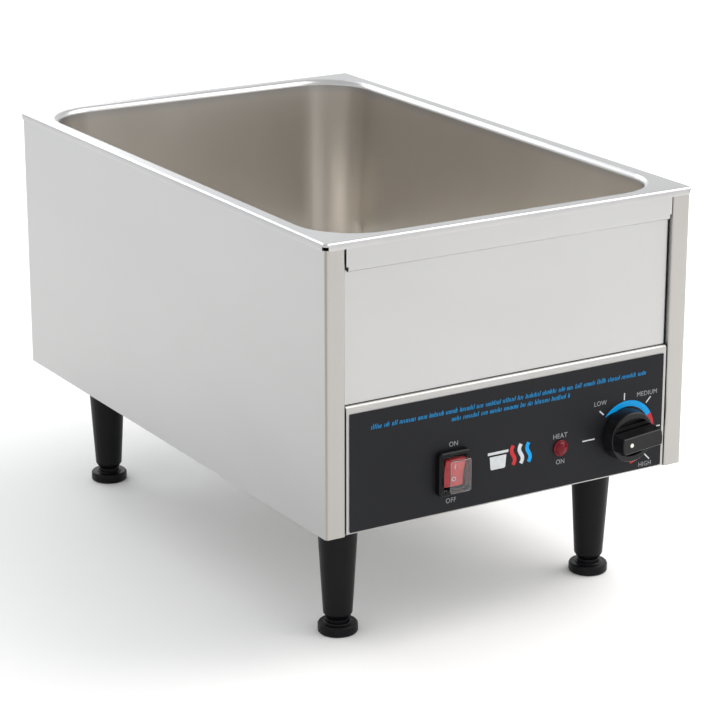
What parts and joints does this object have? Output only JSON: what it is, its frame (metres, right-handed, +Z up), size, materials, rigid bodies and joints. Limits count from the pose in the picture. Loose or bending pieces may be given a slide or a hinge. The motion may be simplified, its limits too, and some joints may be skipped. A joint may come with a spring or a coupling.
{
  "type": "steam table",
  "caption": "Countertop food warmer with one deep open well in a sheet-steel casing, a front panel with rocker switch, lamp and heat dial, and levelling legs.",
  "frame": {"origin": "middle of the outline on the surface that the feet stand on", "axes": "+Z up, -Y towards the control panel, +X to the right of a person who faces the control panel, +Y along the well's length to the back"},
  "size_m": [0.3688, 0.6326, 0.367],
  "materials": {
    "stainless_steel": "satin",
    "well_stainless": "satin",
    "inner_steel": "satin",
    "aluminium": "satin",
    "element_sheath": "matte",
    "copper": "satin",
    "brass": "satin",
    "black_plastic": "satin",
    "knob_black": "gloss",
    "label_black": "satin",
    "leg_black": "satin",
    "clear_plastic": "gloss",
    "rocker_red": "gloss",
    "lamp_red": "gloss",
    "ceramic": "matte",
    "insulation_wool": "matte",
    "wire_red": "satin",
    "wire_white": "satin"
  },
  "bodies": {
    "housing": {"well_pan": "well_stainless", "outer_casing": "stainless_steel", "front_top_rail": "stainless_steel", "front_upper_panel": "stainless_steel", "control_panel": "stainless_steel", "control_overlay": "label_black", "switch_frame": "black_plastic", "switch_body": "black_plastic", "switch_cover": "clear_plastic", "lamp_lens": "lamp_red", "lamp_body": "black_plastic", "lamp_nut": "inner_steel", "thermostat_body": "ceramic", "thermostat_screw_left": "inner_steel", "thermostat_screw_right": "inner_steel", "thermostat_capillary": "copper", "thermostat_bulb": "copper", "heat_spreader": "aluminium", "heating_element": "element_sheath", "element_terminal_left": "inner_steel", "element_terminal_right": "inner_steel", "clamp_bar_front": "inner_steel", "clamp_bar_rear": "inner_steel", "clamp_stud_front": "inner_steel", "clamp_stud_rear": "inner_steel", "clamp_nut_front": "inner_steel", "clamp_nut_rear": "inner_steel", "heat_shield": "inner_steel", "high_limit_cutout": "ceramic", "insulation_wrap": "insulation_wool", "insulation_slab": "insulation_wool", "base_pan": "inner_steel", "base_screw_front_left": "inner_steel", "base_screw_front_right": "inner_steel", "base_screw_rear_left": "inner_steel", "base_screw_rear_right": "inner_steel", "leg_front_left": "leg_black", "leg_front_right": "leg_black", "leg_rear_left": "leg_black", "leg_rear_right": "leg_black", "leg_nut_front_left": "inner_steel", "leg_nut_front_right": "inner_steel", "leg_nut_rear_left": "inner_steel", "leg_nut_rear_right": "inner_steel", "cable_gland": "black_plastic", "cable_gland_nut": "black_plastic", "terminal_block": "black_plastic", "earth_stud": "brass", "wire_supply_to_switch": "wire_red", "wire_switch_to_thermostat": "wire_red", "wire_thermostat_to_element": "wire_red", "wire_element_to_supply": "wire_white"},
    "heat_knob": {"thermostat_knob": "knob_black", "thermostat_shaft": "inner_steel"},
    "power_rocker": {"switch_rocker": "rocker_red"},
    "front_left_foot": {"foot_front_left": "leg_black"},
    "front_right_foot": {"foot_front_right": "leg_black"},
    "rear_left_foot": {"foot_rear_left": "leg_black"},
    "rear_right_foot": {"foot_rear_right": "leg_black"}
  },
  "joints": [
    {"name": "heat_knob_turn", "type": "hinge", "parent": "housing", "child": "heat_knob", "pos_m": [0.1186, -0.2875, 0.1542], "axis": [0, 1, 0], "range_deg": [0, 265]},
    {"name": "power_rocker_tilt", "type": "hinge", "parent": "housing", "child": "power_rocker", "pos_m": [-0.0608, -0.2915, 0.1529], "axis": [-1, 0, 0], "range_deg": [0, 20]},
    {"name": "front_left_foot_screw", "type": "slide", "parent": "housing", "child": "front_left_foot", "axis": [0, 0, -1], "range_m": [0, 0.02]},
    {"name": "front_right_foot_screw", "type": "slide", "parent": "housing", "child": "front_right_foot", "axis": [0, 0, -1], "range_m": [0, 0.02]},
    {"name": "rear_left_foot_screw", "type": "slide", "parent": "housing", "child": "rear_left_foot", "axis": [0, 0, -1], "range_m": [0, 0.02]},
    {"name": "rear_right_foot_screw", "type": "slide", "parent": "housing", "child": "rear_right_foot", "axis": [0, 0, -1], "range_m": [0, 0.02]}
  ]
}
